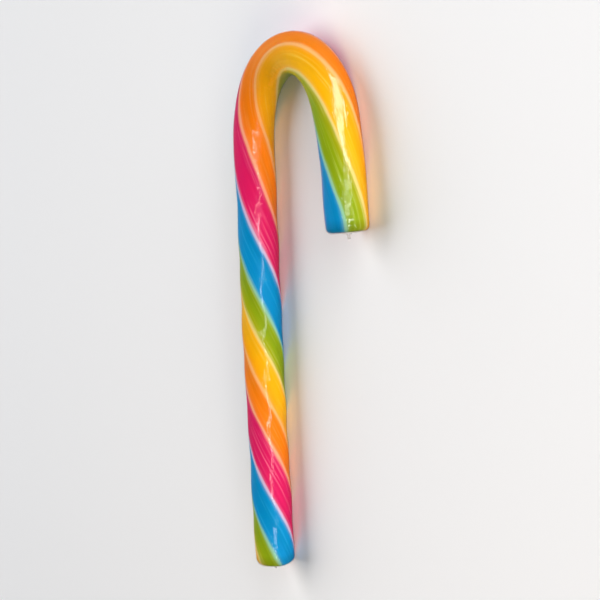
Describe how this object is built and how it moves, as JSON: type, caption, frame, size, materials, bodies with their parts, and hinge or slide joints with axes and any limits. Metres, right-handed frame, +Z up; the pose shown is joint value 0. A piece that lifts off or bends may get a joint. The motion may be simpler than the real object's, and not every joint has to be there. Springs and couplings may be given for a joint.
{
  "type": "candy cane",
  "caption": "Candy cane of twisted, striped boiled sugar in tight clear film: a straight stem bent over into a hook, lying on its side.",
  "frame": {"origin": "middle of the cane's footprint, on the surface that it lies on", "axes": "+Y along the stem towards the crook, +X across from the stem to the short leg, +Z up out of the plane of the hook"},
  "size_m": [0.0424, 0.108, 0.0082],
  "materials": {
    "candy": "hard glossy sugar in raspberry, orange, yellow, green and blue stripes that wind round the rod",
    "film": "thin clear glossy film, shrunk tight, with fine creases and gathered ends"
  },
  "bodies": {
    "root": {"candy_cane": "candy"}
  },
  "joints": []
}
